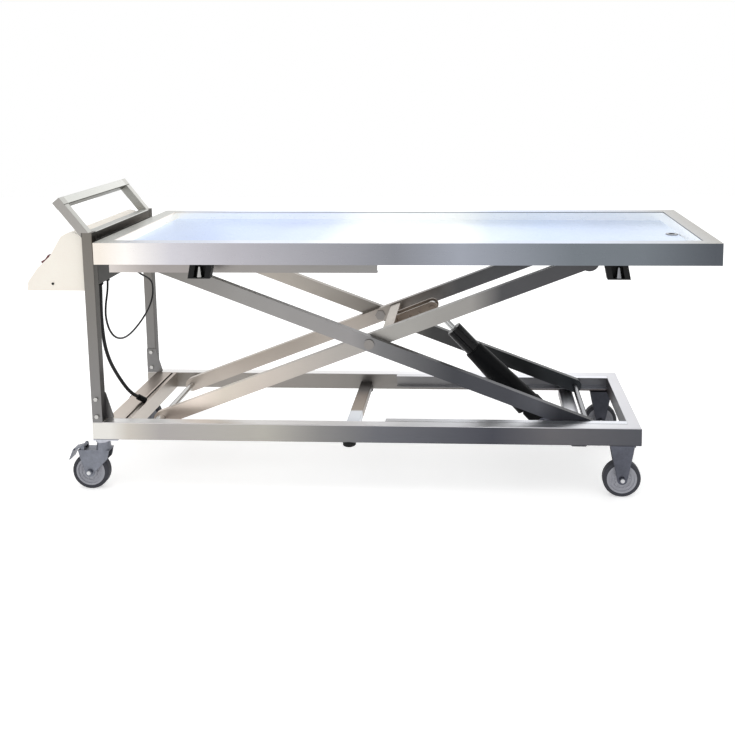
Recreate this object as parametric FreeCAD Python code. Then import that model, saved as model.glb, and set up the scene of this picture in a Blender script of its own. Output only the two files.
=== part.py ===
import FreeCAD, Part
import math
import os

# Body lift trolley: a stainless tray on an electric scissor lift, standing on a tube frame with casters.
# Millimetres, Z up from the floor. +X is the foot end with the drain, -X the handle end, -Y the near side.
# Places are worked out from the middle of the base. The finished part is then moved along X,
# so that X = 0 is the middle of its overall length.

# Base frame
base_length = 1825.0
base_width = 550.0
ride_height = 180.0
rail_height = 60.0
rail_width = 40.0
rail_wall = 2.0
rail_corner = 3.0
head_rail_width = 60.0
cable_rail_width = 12.0
cable_rail_gap = 9.0
middle_rail_width = 44.0
middle_rail_height = 30.0
middle_rail_place = -48.0
lift_rail_width = 50.0
lift_rail_height = 28.0
lift_rail_place = 715.0
lift_rail_drop = 30.0
bumper_diameter = 44.0
bumper_height = 16.0
bumper_round = 4.0

# Tray
table_length = 1980.0
table_width = 690.0
table_height = 865.0
table_lead = 144.0
skirt_height = 70.0
tray_sheet = 2.0
tray_corner = 4.0
rim_width = 50.0
pan_depth = 25.0
pan_fall = 8.0
pan_slope_width = 10.0
skirt_return = 14.0
tray_bar_width = 40.0
tray_bar_height = 22.0
tray_bar_wall = 2.0
tray_bar_shares = (0.12, 0.42, 0.66)
drain_inset = 82.0
drain_bore = 22.0
drain_flange = 42.0
drain_spigot_length = 46.0
drain_cross_bars = 3
spigot_wall = 2.0
drain_nut = 38.0
drain_nut_height = 8.0
drain_nut_gap = 0.5
clamp_length = 72.0
clamp_spread = 656.0
clamp_lead = 11.0
clamp_width = 28.0
clamp_drop = 50.0
clamp_sheet = 4.0
clamp_leg_width = 18.0
clamp_lean = 10.0
buffer_top = 9.0
buffer_foot = 22.0
buffer_height = 33.0

# Scissor lift
pin_left = -711.0
pin_right = 747.0
pin_low = 218.0
pin_drop = 90.0
arm_height = 50.0
arm_width = 25.0
arm_wall = 2.0
arm_gap = 2.0
pin_diameter = 20.0
boss_diameter = 34.0
boss_head = 5.0
upper_track_height = 60.0
lower_track_height = 44.0
track_depth = 24.0
track_wall = 3.0
track_gap = 2.0
lower_track_start = 71.0
upper_track_inset = 4.0
upper_track_end = 53.0
roller_width = 18.0
roller_play = 1.0
lug_sheet = 6.0
lug_radius = 33.0
lug_gap = 1.0

# Actuator
actuator_foot_x = 612.0
actuator_foot_z = 155.0
actuator_head_share = 0.6386
actuator_stroke = 178.0
cover_length = 280.0
cover_foot_left = 44.0
cover_foot_right = 50.0
cover_head_width = 68.0
cover_depth = 68.0
guide_diameter = 62.0
piston_diameter = 57.0
piston_end = 462.0
rod_diameter = 20.0
rod_end_radius = 17.0
rod_end_width = 30.0
gearbox_length = 80.0
gearbox_left = 28.0
gearbox_right = 48.0
gearbox_depth = 64.0
gearbox_round = 9.0
ear_sheet = 6.0
ear_gap = 48.0
ear_radius = 22.0
ear_hole = 14.0
ear_hole_shares = (0.36, 0.66)
bracket_tube_width = 40.0
bracket_tube_height = 40.0
bracket_reach = 147.0
rod_pin = 12.0
rod_pin_length = 40.0

# Posts, handle and control housing
post_size = 35.0
post_wall = 2.0
handle_rail_height = 30.0
handle_rail_top = 885.0
handle_tube = 30.0
handle_wall = 2.0
handle_cap = 3.0
grip_reach = 87.0
grip_rise = 111.0
crossbar_height = 150.0
crossbar_sheet = 2.5
gusset_height = 93.0
gusset_reach = 26.0
gusset_sheet = 4.0
gusset_round = 6.0
gusset_bolt_shares = (0.22, 0.87)
housing_depth = 203.5
housing_height = 201.0
housing_width = 510.0
housing_wall = 3.0
housing_rise = 3.0
housing_depth_shares = (0.0, 1.0, 0.975, 0.80, 0.59, 0.385, 0.22, 0.0)
housing_height_shares = (0.0, 0.0, 0.15, 0.385, 0.575, 0.91, 1.0, 0.89)
housing_rounds = (2.0, 4.0, 12.0, 30.0, 40.0, 26.0, 40.0, 2.0)
power_unit_length = 300.0
power_unit_depth = 70.0
power_unit_height = 90.0
power_unit_lift = 18.0
switch_length = 44.0
switch_width = 30.0
bezel_rise = 3.0
bezel_rim = 4.0
rocker_rise = 12.0
rocker_valley_share = 0.7
switch_inset = 35.0
switch_place_share = 0.48
housing_screw = 8.0
housing_screw_head = 2.5
housing_screw_depth_shares = (0.56,)
housing_screw_height = 24.0

# Casters
wheel_diameter = 125.0
wheel_width = 32.0
tyre_thickness = 13.0
tyre_round = 7.0
hub_width = 36.0
hub_diameter = 44.0
wheel_recess = 5.0
caster_plate_width = 50.0
caster_plate_length = 84.0
caster_plate_sheet = 4.0
fork_sheet = 3.0
fork_foot_radius = 17.0
fixed_fork_width = 78.0
fork_crown_gap = 12.0
fork_shoulder_drop = 32.0
fork_shoulder_share = 0.86
caster_trail = 45.0
crown_front = 37.0
crown_back = 25.0
race_diameter = 50.0
race_neck = 42.0
upper_race_height = 8.0
axle_diameter = 12.0
axle_nut = 18.0
axle_nut_height = 8.0
fixed_caster_place = 852.5
swivel_caster_place = -888.0
caster_side = 250.0
pedal_width = 44.0
pedal_arm_width = 32.0
pedal_sheet = 4.0
pedal_hinge_back = 22.0
pedal_hinge_rise = 10.0
pedal_tread = 34.0
pedal_lift = 13.0
pedal_hinge = 11.0
pedal_pin = 6.0
pedal_ear = 6.0

# Fasteners, cables and fits
bolt_head = 13.0
bolt_shank = 8.0
bolt_head_height = 5.0
hexagon_sides = 6
control_cable = 7.0
motor_cable = 12.0
gland_wall = 4.0
gland_height = 12.0
rail_gland_length = 34.0
fit_play = 0.05
body_gap = 0.4
over = 1.0
cable_bend_share = 0.45
parallel_share = 0.999

# What follows from the sizes above
V = FreeCAD.Vector
along_x = V(1, 0, 0)
along_y = V(0, 1, 0)
along_z = V(0, 0, 1)
base_top = ride_height + rail_height
pin_high = table_height - pin_drop
base_head = -base_length / 2
base_foot = base_length / 2
half_base = base_width / 2
rail_inside = half_base - rail_width
rail_middle = half_base - rail_width / 2
half_table = table_width / 2
table_head = table_lead - table_length / 2
table_foot = table_lead + table_length / 2
skirt_bottom = table_height - skirt_height
lift_rail_top = pin_low - lift_rail_drop
tray_bar_top = pin_high + upper_track_height / 2 + tray_bar_height
arm_span = math.hypot(pin_right - pin_left, pin_high - pin_low)
arm_slope = math.degrees(math.atan2(pin_high - pin_low, pin_right - pin_left))
middle_x = (pin_left + pin_right) / 2
middle_z = (pin_low + pin_high) / 2
outer_arm_far = rail_inside - track_depth - track_gap
outer_arm_near = outer_arm_far - arm_width
inner_arm_far = outer_arm_near - arm_gap
inner_arm_near = inner_arm_far - arm_width
actuator_head_x = pin_left + actuator_head_share * (pin_right - pin_left)
actuator_head_z = pin_low + actuator_head_share * (pin_high - pin_low)
actuator_span = math.hypot(actuator_head_x - actuator_foot_x, actuator_head_z - actuator_foot_z)
actuator_slope = math.degrees(math.atan2(actuator_head_z - actuator_foot_z,
                                         actuator_head_x - actuator_foot_x))
post_right = base_head + post_size
post_inside = half_base - post_size
post_middle = base_head + post_size / 2
post_top = handle_rail_top - handle_rail_height
crossbar_bottom = post_top - crossbar_height
housing_top = handle_rail_top + housing_rise
housing_bottom = housing_top - housing_height
wheel_radius = wheel_diameter / 2
fork_inside = hub_width / 2 + body_gap
fork_outside = fork_inside + fork_sheet
crown_bottom = wheel_diameter + fork_crown_gap
origin_x = (base_head - housing_depth + table_foot) / 2

nodes = {}


def box(x0, x1, y0, y1, z0, z1):
    return Part.makeBox(x1 - x0, y1 - y0, z1 - z0, V(x0, y0, z0))


def rod_x(x0, x1, y, z, diameter):
    return Part.makeCylinder(diameter / 2, x1 - x0, V(x0, y, z), along_x)


def rod_y(x, z, y0, y1, diameter):
    return Part.makeCylinder(diameter / 2, y1 - y0, V(x, y0, z), along_y)


def rod_z(x, y, z0, z1, diameter):
    return Part.makeCylinder(diameter / 2, z1 - z0, V(x, y, z0), along_z)


def rounded_wire(corners, rounds):
    # A closed outline whose corners are arcs of the given radii, or sharp where the radius is zero
    edges = []
    ends = []
    count = len(corners)
    for i, corner in enumerate(corners):
        before = (corners[i - 1] - corner).normalize()
        after = (corners[(i + 1) % count] - corner).normalize()
        half_angle = before.getAngle(after) / 2
        if rounds[i] == 0:
            ends.append((corner, corner))
            continue
        step = rounds[i] / math.tan(half_angle)
        bisector = (before + after).normalize()
        centre = corner + bisector * (rounds[i] / math.sin(half_angle))
        start = corner + before * step
        finish = corner + after * step
        edges.append(Part.Arc(start, centre - bisector * rounds[i], finish).toShape())
        ends.append((start, finish))
    for i in range(count):
        start = ends[i][1]
        finish = ends[(i + 1) % count][0]
        if (finish - start).Length > fit_play / 10:
            edges.append(Part.LineSegment(start, finish).toShape())
    return Part.Wire(Part.sortEdges(edges)[0])


def plate_xz(points, y0, y1, rounds=None):
    # A flat outline in X and Z, as thick as the distance from y0 to y1
    corners = [V(x, y0, z) for x, z in points]
    wire = rounded_wire(corners, rounds or [0] * len(corners))
    return Part.Face(wire).extrude(V(0, y1 - y0, 0))


def plate_xy(points, z0, z1):
    corners = [V(x, y, z0) for x, y in points]
    wire = rounded_wire(corners, [0] * len(corners))
    return Part.Face(wire).extrude(V(0, 0, z1 - z0))


def other_side(shape):
    return shape.mirror(V(0, 0, 0), along_y)


def pair(shape):
    return [other_side(shape), shape]


def turned(shape, degrees, x, z):
    # From a piece lying along +X at the origin to one that climbs at the given angle from (x, z)
    copy = shape.copy()
    copy.rotate(V(0, 0, 0), along_y, -degrees)
    copy.translate(V(x, 0, z))
    return copy


def edges_along(shape, axis):
    found = []
    for edge in shape.Edges:
        if edge.Curve.TypeId == "Part::GeomLine" and abs(edge.Curve.Direction.dot(axis)) > parallel_share:
            found.append(edge)
    return found


def rounded_box(x0, x1, y0, y1, z0, z1, axis, radius):
    block = box(x0, x1, y0, y1, z0, z1)
    return block.makeFillet(radius, edges_along(block, axis))


def tube(x0, x1, y0, y1, z0, z1, axis, wall, corner):
    # A rectangular tube along one axis, open at both ends
    outside = rounded_box(x0, x1, y0, y1, z0, z1, axis, corner)
    wx, wy, wz = [-over if axis.dot(side) > 0 else wall for side in (along_x, along_y, along_z)]
    return outside.cut(box(x0 + wx, x1 - wx, y0 + wy, y1 - wy, z0 + wz, z1 - wz))


def hexagon_y(x, z, y0, y1, across):
    turn = math.pi / hexagon_sides
    corner = across / 2 / math.cos(turn)
    points = [(x + corner * math.cos(2 * turn * i), z + corner * math.sin(2 * turn * i))
              for i in range(hexagon_sides)]
    return plate_xz(points, y0, y1)


# Base frame
def base_rails():
    rail = tube(base_head, base_foot, rail_inside, half_base, ride_height, base_top,
                along_x, rail_wall, rail_corner)
    waste = plate_xy([(base_foot + over, half_base + over), (base_foot + over, rail_inside - over),
                      (base_foot - rail_width - over, rail_inside - over)],
                     ride_height - over, base_top + over)
    rail = rail.cut(waste)
    end_plate = box(base_head, base_head + rail_wall, rail_inside + rail_wall, half_base - rail_wall,
                    ride_height + rail_wall, base_top - rail_wall)
    rail = rail.fuse(end_plate).removeSplitter()
    nodes["base_rail_near"] = [other_side(rail)]
    nodes["base_rail_far"] = [rail]
    foot_rail = tube(base_foot - rail_width, base_foot, -half_base, half_base,
                     ride_height, base_top, along_y, rail_wall, rail_corner)
    waste = plate_xy([(base_foot + over, half_base + over),
                      (base_foot - rail_width - over, half_base + over),
                      (base_foot - rail_width - over, rail_inside - over)],
                     ride_height - over, base_top + over)
    nodes["base_rail_foot"] = [foot_rail.cut(waste).cut(other_side(waste))]


def cross_rails():
    start = post_right + head_rail_width + cable_rail_gap
    nodes["base_rail_head"] = [tube(post_right, post_right + head_rail_width, -rail_inside, rail_inside,
                                    ride_height, base_top, along_y, rail_wall, rail_corner),
                               tube(start, start + cable_rail_width, -rail_inside, rail_inside,
                                    ride_height, base_top, along_y, rail_wall, rail_corner / 2)]
    half = middle_rail_width / 2
    nodes["middle_cross_tube"] = [tube(middle_rail_place - half, middle_rail_place + half, -rail_inside,
                                       rail_inside, ride_height, ride_height + middle_rail_height,
                                       along_y, rail_wall, rail_corner)]
    half = lift_rail_width / 2
    nodes["actuator_cross_tube"] = [tube(lift_rail_place - half, lift_rail_place + half, -rail_inside,
                                         rail_inside, lift_rail_top - lift_rail_height, lift_rail_top,
                                         along_y, rail_wall, rail_corner)]
    bumper = rod_z(middle_rail_place, rail_middle, ride_height - bumper_height, ride_height,
                   bumper_diameter)
    rim = [e for e in bumper.Edges if e.BoundBox.ZMax < ride_height - bumper_height / 2]
    nodes["rail_bumpers"] = pair(bumper.makeFillet(bumper_round, rim))


def channel(x0, x1, z_middle, height):
    # A C-section roller track with its mouth towards the middle of the trolley
    half = height / 2
    inside = rail_inside - track_depth
    shape = box(x0, x1, inside, rail_inside, z_middle - half, z_middle + half)
    return shape.cut(box(x0 - over, x1 + over, inside - over, rail_inside - track_wall,
                         z_middle - half + track_wall, z_middle + half - track_wall))


def base_pivots():
    nodes["lower_tracks"] = pair(channel(lower_track_start, base_foot - rail_width, pin_low,
                                         lower_track_height))
    shaft = rod_y(pin_left, pin_low, -rail_inside, rail_inside, pin_diameter)
    collar = rod_y(pin_left, pin_low, inner_arm_far + body_gap, rail_inside, boss_diameter)
    collar = collar.cut(rod_y(pin_left, pin_low, inner_arm_near, rail_inside + over, pin_diameter))
    nodes["base_pivot_shaft"] = [shaft] + pair(collar)


# Posts, handle and control housing
def post_bolt_heights():
    return [base_top + share * gusset_height for share in gusset_bolt_shares]


def posts():
    post = tube(base_head, post_right, post_inside, half_base, base_top, handle_rail_top,
                along_z, post_wall, rail_corner)
    lid = box(base_head, post_right, post_inside, half_base, handle_rail_top - handle_cap, handle_rail_top)
    post = post.fuse(lid.makeFillet(rail_corner, edges_along(lid, along_z))).removeSplitter()
    gusset = plate_xz([(base_head, base_top), (post_right + gusset_reach, base_top),
                       (post_right, base_top + gusset_height), (base_head, base_top + gusset_height)],
                      post_inside - gusset_sheet, post_inside, [0, gusset_round, gusset_round, 0])
    bolts = []
    for z in post_bolt_heights():
        inner_face = post_inside - gusset_sheet
        shank = rod_y(post_middle, z, inner_face - bolt_head_height, half_base, bolt_shank)
        head = hexagon_y(post_middle, z, half_base, half_base + bolt_head_height, bolt_head)
        nut = hexagon_y(post_middle, z, inner_face - bolt_head_height, inner_face, bolt_head)
        post = post.cut(shank)
        gusset = gusset.cut(shank)
        bolts += pair(shank.fuse(head).fuse(nut).removeSplitter())
    nodes["post_near"] = [other_side(post)]
    nodes["post_far"] = [post]
    nodes["post_gussets"] = pair(gusset)
    nodes["frame_bolts"] = bolts


def crossbar():
    # A folded channel between the posts: it backs the housing and carries the cable glands
    web = box(post_right - crossbar_sheet, post_right, -post_inside, post_inside, crossbar_bottom, post_top)
    flange = box(base_head, post_right - crossbar_sheet, -post_inside, post_inside,
                 crossbar_bottom, crossbar_bottom + crossbar_sheet)
    bar = web.fuse(flange).removeSplitter()
    glands = []
    for x, y, bore in gland_places():
        stem = rod_z(x, y, crossbar_bottom, crossbar_bottom + crossbar_sheet, bore)
        bar = bar.cut(stem)
        ring = rod_z(x, y, crossbar_bottom - gland_height, crossbar_bottom, bore + 2 * gland_wall)
        nut = rod_z(x, y, crossbar_bottom + crossbar_sheet, crossbar_bottom + 2 * crossbar_sheet,
                    bore + 2 * gland_wall)
        glands.append(ring.fuse(stem).fuse(nut).removeSplitter())
    nodes["post_crossbar"] = [bar]
    nodes["cable_glands"] = glands + [cable_rail_gland()]


def gland_places():
    return ((control_route[0][0], control_route[0][1], control_cable),
            (control_route[-1][0], control_route[-1][1], control_cable),
            (motor_route[0][0], motor_route[0][1], motor_cable))


def cable_rail_gland():
    # It lies along the cable's last stretch and stands on the cable rail
    end = V(*motor_route[-1])
    heading = (end - V(*motor_route[-2])).normalize()
    gland = Part.makeCylinder(motor_cable / 2 + gland_wall, rail_gland_length, end, heading)
    start = post_right + head_rail_width
    return gland.cut(box(start - over, start + 2 * head_rail_width, -half_base, half_base, 0, base_top))


def handle():
    low = post_top
    top = handle_rail_top
    nodes["handle_lower_bar"] = [tube(base_head, post_right, -post_inside, post_inside, low, top,
                                      along_y, handle_wall, rail_corner)]
    half = handle_tube / 2
    foot_z = (low + top) / 2
    lean = math.degrees(math.atan2(grip_rise, grip_reach))
    length = math.hypot(grip_reach, grip_rise)
    grip = tube(length - half, length + half, -half_base + handle_cap, half_base - handle_cap, -half, half,
                along_y, handle_wall, rail_corner)
    cap = box(length - half, length + half, half_base - handle_cap, half_base, -half, half)
    cap = cap.makeFillet(rail_corner, edges_along(cap, along_y))
    nodes["handle_grip"] = [turned(s, 180 - lean, post_middle, foot_z) for s in [grip] + pair(cap)]
    arm = tube(-half, length - half, half_base - handle_tube, half_base, -half, half,
               along_x, handle_wall, rail_corner)
    arm = turned(arm, 180 - lean, post_middle, foot_z)
    arm = arm.cut(box(base_head, post_right + post_size, 0, base_width, 0, top))
    arm = arm.cut(box(base_head - post_size, base_head, 0, base_width, 0, low))
    nodes["handle_side_arms"] = pair(max(arm.Solids, key=lambda s: s.Volume))


def housing_points(inset):
    depth = housing_depth - inset
    height = housing_height - 2 * inset
    return [(base_head - depth * d, housing_bottom + inset + height * h)
            for d, h in zip(housing_depth_shares, housing_height_shares)]


def switch_place():
    # The middle of the switch on the sloping front, with the slope's angle
    (x0, z0), (x1, z1) = housing_points(0)[3:5]
    angle = math.degrees(math.atan2(z1 - z0, x1 - x0))
    return x0 + switch_place_share * (x1 - x0), z0 + switch_place_share * (z1 - z0), angle


def control_housing():
    half = housing_width / 2
    shell = plate_xz(housing_points(0), -half, half, housing_rounds)
    hollow = plate_xz(housing_points(housing_wall), housing_wall - half, half - housing_wall,
                      [max(r - housing_wall, over) for r in housing_rounds])
    mouth = box(base_head - housing_wall, base_head + over, housing_wall - half, half - housing_wall,
                housing_bottom + housing_wall,
                housing_bottom + housing_height * housing_height_shares[-1] - 2 * housing_wall)
    shell = shell.cut(hollow).cut(mouth)
    x, z, angle = switch_place()
    y = switch_inset - half
    length = switch_length / 2
    width = switch_width / 2
    slot_length = length - bezel_rim
    slot_width = width - bezel_rim
    slot = box(-slot_length, slot_length, y - slot_width, y + slot_width,
               -3 * housing_wall, bezel_rise + over)
    slot_place = turned(slot, angle, x, z)
    screws = []
    for share in housing_screw_depth_shares:
        screw_x = base_head - share * housing_depth
        screw_z = housing_bottom + housing_screw_height
        shank = rod_y(screw_x, screw_z, half - housing_wall, half, housing_screw / 2)
        shell = shell.cut(shank).cut(other_side(shank))
        head = rod_y(screw_x, screw_z, half, half + housing_screw_head, housing_screw)
        screws += pair(head.fuse(shank).removeSplitter())
    nodes["control_housing"] = [shell.cut(slot_place)]
    nodes["housing_screws"] = screws
    bezel = box(-length, length, y - width, y + width, 0, bezel_rise)
    nodes["switch_bezel"] = [turned(bezel.cut(slot), angle, x, z)]
    tip = slot_length - body_gap
    rocker = plate_xz([(-tip, -housing_wall), (tip, -housing_wall), (tip, rocker_rise),
                       (0, rocker_valley_share * rocker_rise), (-tip, rocker_rise)],
                      y - slot_width + body_gap, y + slot_width - body_gap)
    nodes["rocker_switch"] = [turned(rocker, angle, x, z)]
    back = post_right - crossbar_sheet
    low = crossbar_bottom + power_unit_lift
    nodes["power_unit"] = [rounded_box(back - power_unit_depth, back, -power_unit_length / 2,
                                       power_unit_length / 2, low, low + power_unit_height,
                                       along_x, rail_corner)]


# Casters
def wheel(x, y, name):
    # The core has a recess in each face round its hub; the tyre is a band with rounded shoulders
    z = wheel_radius
    half = wheel_width / 2
    core_diameter = wheel_diameter - 2 * tyre_thickness
    core = rod_y(x, z, y - half + over, y + half - over, core_diameter)
    for start, finish in ((y - half, y - half + wheel_recess), (y + half - wheel_recess, y + half)):
        core = core.cut(rod_y(x, z, start, finish, core_diameter - tyre_thickness))
    core = core.fuse(rod_y(x, z, y - hub_width / 2, y + hub_width / 2, hub_diameter)).removeSplitter()
    core = core.cut(rod_y(x, z, y - hub_width, y + hub_width, axle_diameter + 2 * fit_play))
    nodes["wheel_core_" + name] = [core]
    tyre = rod_y(x, z, y - half, y + half, wheel_diameter)
    rims = [e for e in tyre.Edges if e.Curve.TypeId == "Part::GeomCircle"]
    tyre = tyre.makeFillet(tyre_round, rims)
    nodes["tyre_" + name] = [tyre.cut(rod_y(x, z, y - wheel_width, y + wheel_width, core_diameter))]


def fork_legs(crown_left, crown_right, crown_top, axle_x, y):
    # Two cheeks that narrow from the crown to a shoulder, then to a round foot at the axle
    z = wheel_radius
    middle = (crown_left + crown_right) / 2
    half = fork_shoulder_share * (crown_right - crown_left) / 2
    low = crown_top - fork_shoulder_drop
    legs = []
    for inside in (fork_inside, -fork_outside):
        y0 = y + inside
        leg = plate_xz([(crown_left, crown_top), (crown_right, crown_top), (middle + half, low),
                        (axle_x + fork_foot_radius, z), (axle_x - fork_foot_radius, z),
                        (middle - half, low)], y0, y0 + fork_sheet)
        leg = leg.fuse(rod_y(axle_x, z, y0, y0 + fork_sheet, 2 * fork_foot_radius))
        legs.append(leg.cut(rod_y(axle_x, z, y0 - over, y0 + fork_sheet + over, axle_diameter)))
    return legs


def axle(x, y):
    z = wheel_radius
    solid = rod_y(x, z, y - fork_outside, y + fork_outside, axle_diameter)
    solid = solid.fuse(hexagon_y(x, z, y + fork_outside, y + fork_outside + axle_nut_height, axle_nut))
    solid = solid.fuse(hexagon_y(x, z, y - fork_outside - axle_nut_height, y - fork_outside, axle_nut))
    return solid.removeSplitter()


def fuse_all(shapes):
    whole = shapes[0]
    for shape in shapes[1:]:
        whole = whole.fuse(shape)
    return whole.removeSplitter()


def fixed_caster(side):
    x = fixed_caster_place
    y = side * caster_side
    half = fixed_fork_width / 2
    plate_bottom = ride_height - caster_plate_sheet
    plate = box(x - caster_plate_length / 2, x + caster_plate_length / 2, y - caster_plate_width / 2,
                y + caster_plate_width / 2, plate_bottom, ride_height)
    crown = box(x - half, x + half, y - fork_outside, y + fork_outside,
                plate_bottom - fork_sheet, plate_bottom)
    fork = fuse_all([plate, crown] + fork_legs(x - half, x + half, plate_bottom, x, y))
    return [fork, axle(x, y)]


def swivel_caster(side, name):
    x = swivel_caster_place
    y = side * caster_side
    axle_x = x - caster_trail
    plate_bottom = ride_height - caster_plate_sheet
    plate = box(base_head, base_head + caster_plate_length, y - caster_plate_width / 2,
                y + caster_plate_width / 2, plate_bottom, ride_height)
    race = rod_z(x, y, plate_bottom - upper_race_height, plate_bottom, race_diameter)
    stud_end = crown_bottom - body_gap
    stud = rod_z(x, y, stud_end - fork_sheet, plate_bottom, axle_diameter)
    stud_head = rod_z(x, y, stud_end - fork_sheet, stud_end, axle_nut)
    top = fuse_all([plate, race, stud, stud_head])
    crown_top = plate_bottom - upper_race_height - body_gap
    crown_left = axle_x - crown_front
    crown_right = x + crown_back
    hood = box(crown_left, crown_right, y - fork_outside, y + fork_outside, crown_bottom,
               crown_bottom + fork_sheet)
    dome = Part.makeCone(race_diameter / 2, race_neck / 2, crown_top - crown_bottom, V(x, y, crown_bottom))
    fork = fuse_all([hood, dome] + pedal_ears(y)
                    + fork_legs(crown_left, crown_right, crown_bottom + fork_sheet, axle_x, y))
    fork = fork.cut(rod_z(x, y, crown_bottom - over, crown_top + over, axle_diameter + 2 * fit_play))
    nodes["swivel_fork_" + name] = [fork, axle(axle_x, y)]
    brake_pedal(y, crown_left, name)
    wheel(axle_x, y, "head_" + name)
    return top


def pedal_hinge_place():
    x = swivel_caster_place - caster_trail - pedal_hinge_back
    return x, crown_bottom + fork_sheet + pedal_hinge_rise


def pedal_ears(y):
    # Two ears on the hood with the pin that the pedal turns on
    x, z = pedal_hinge_place()
    half = pedal_arm_width / 2 + body_gap
    end = half + fork_sheet
    pieces = [rod_y(x, z, y - end, y + end, pedal_pin)]
    for y0 in (y + half, y - end):
        pieces.append(box(x - pedal_ear, x + pedal_ear, y0, y0 + fork_sheet, crown_bottom + fork_sheet, z))
        pieces.append(rod_y(x, z, y0, y0 + fork_sheet, 2 * pedal_ear))
    return pieces


def brake_pedal(y, crown_left, name):
    # A pressed lever hinged between the fork's ears, its wider tread bent down round the wheel
    x, z = pedal_hinge_place()
    half_sheet = pedal_sheet / 2
    half_arm = pedal_arm_width / 2
    half_tread = pedal_width / 2
    bend_x = crown_left - pedal_lift
    bend_z = z - pedal_hinge_rise
    drop_x = bend_x - pedal_tread / 2
    drop_z = bend_z - pedal_tread
    lever = plate_xz([(x, z + half_sheet), (x, z - half_sheet), (bend_x, bend_z - half_sheet),
                      (bend_x - pedal_sheet, bend_z + half_sheet)], y - half_arm, y + half_arm)
    tread = plate_xz([(bend_x, bend_z - half_sheet), (drop_x + half_sheet, drop_z),
                      (drop_x - half_sheet, drop_z), (bend_x - pedal_sheet, bend_z + half_sheet)],
                     y - half_tread, y + half_tread)
    lug = rod_y(x, z, y - half_arm, y + half_arm, pedal_hinge)
    bore = rod_y(x, z, y - half_tread, y + half_tread, pedal_pin + 2 * fit_play)
    nodes["brake_pedal_" + name] = [fuse_all([lever, tread, lug]).cut(bore)]


def casters():
    forks = []
    plates = []
    for side, name in ((-1, "near"), (1, "far")):
        forks += fixed_caster(side)
        wheel(fixed_caster_place, side * caster_side, "foot_" + name)
        plates.append(swivel_caster(side, name))
    nodes["fixed_caster_forks"] = forks
    nodes["swivel_plates"] = plates


# Scissor arms
def arm(y0, y1):
    # A rectangular tube with rounded, closed ends and three bushed holes, lying along +X
    radius = arm_height / 2
    inner = radius - arm_wall
    outline = [box(0, arm_span, y0, y1, -radius, radius)]
    outline += [rod_y(x, 0, y0, y1, arm_height) for x in (0, arm_span)]
    shape = fuse_all(outline)
    shape = shape.cut(box(0, arm_span, y0 + arm_wall, y1 - arm_wall, -inner, inner))
    for x in (0, arm_span / 2, arm_span):
        shape = shape.fuse(rod_y(x, 0, y0, y1, boss_diameter))
        shape = shape.cut(rod_y(x, 0, y0 - over, y1 + over, pin_diameter + 2 * fit_play))
    return shape


def inner_arms():
    solid = turned(arm(inner_arm_near, inner_arm_far), arm_slope, pin_left, pin_low)
    nodes["inner_arm_near"] = [other_side(solid)]
    nodes["inner_arm_far"] = [solid]
    near = inner_arm_near
    far = outer_arm_far + body_gap
    pin = rod_y(middle_x, middle_z, near - boss_head, far, pin_diameter)
    head = rod_y(middle_x, middle_z, far, far + boss_head, boss_diameter)
    tail = hexagon_y(middle_x, middle_z, near - boss_head, near, boss_diameter)
    nodes["centre_pins"] = pair(fuse_all([pin, head, tail]))


def outer_arms():
    solid = turned(arm(outer_arm_near, outer_arm_far), 180 - arm_slope, pin_right, pin_low)
    nodes["outer_arm_near"] = [other_side(solid)]
    nodes["outer_arm_far"] = [solid]
    end = rail_inside - track_wall - track_gap
    ends = ((pin_right, pin_low), (pin_left, pin_high))
    nodes["roller_shafts"] = [rod_y(x, z, -end, end, pin_diameter) for x, z in ends]
    heights = (lower_track_height, upper_track_height)
    for name, (x, z), height in zip(("lower_rollers", "upper_rollers"), ends, heights):
        diameter = height - 2 * track_wall - 2 * roller_play
        roller = rod_y(x, z, end - roller_width, end, diameter)
        bore = rod_y(x, z, end - roller_width - over, end + over, pin_diameter + 2 * fit_play)
        nodes[name] = pair(roller.cut(bore))


# Actuator between the base and the inner arms
def actuator_bracket():
    # A cross tube between the inner arms with two ears that take the head of the actuator
    head = actuator_head_share * arm_span
    start = head - bracket_reach
    half_width = bracket_tube_width / 2
    half_height = bracket_tube_height / 2
    solids = [tube(start - half_width, start + half_width, -inner_arm_near, inner_arm_near,
                   -half_height, half_height, along_y, rail_wall, rail_corner)]
    left = start + half_width
    for side in (-1, 1):
        y0, y1 = sorted((side * ear_gap / 2, side * (ear_gap / 2 + ear_sheet)))
        ear = plate_xz([(left, -half_height), (head, -ear_radius), (head, ear_radius),
                        (left, half_height)], y0, y1)
        ear = ear.fuse(rod_y(head, 0, y0, y1, 2 * ear_radius)).removeSplitter()
        for share in ear_hole_shares:
            ear = ear.cut(rod_y(left + share * (head - left), 0, y0 - over, y1 + over, ear_hole))
        solids.append(ear)
        outer = y1 if side > 0 else y0 - bolt_head_height
        solids.append(hexagon_y(head, 0, outer, outer + bolt_head_height, axle_nut))
    nodes["actuator_bracket"] = [turned(s, arm_slope, pin_left, pin_low) for s in solids]


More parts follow.
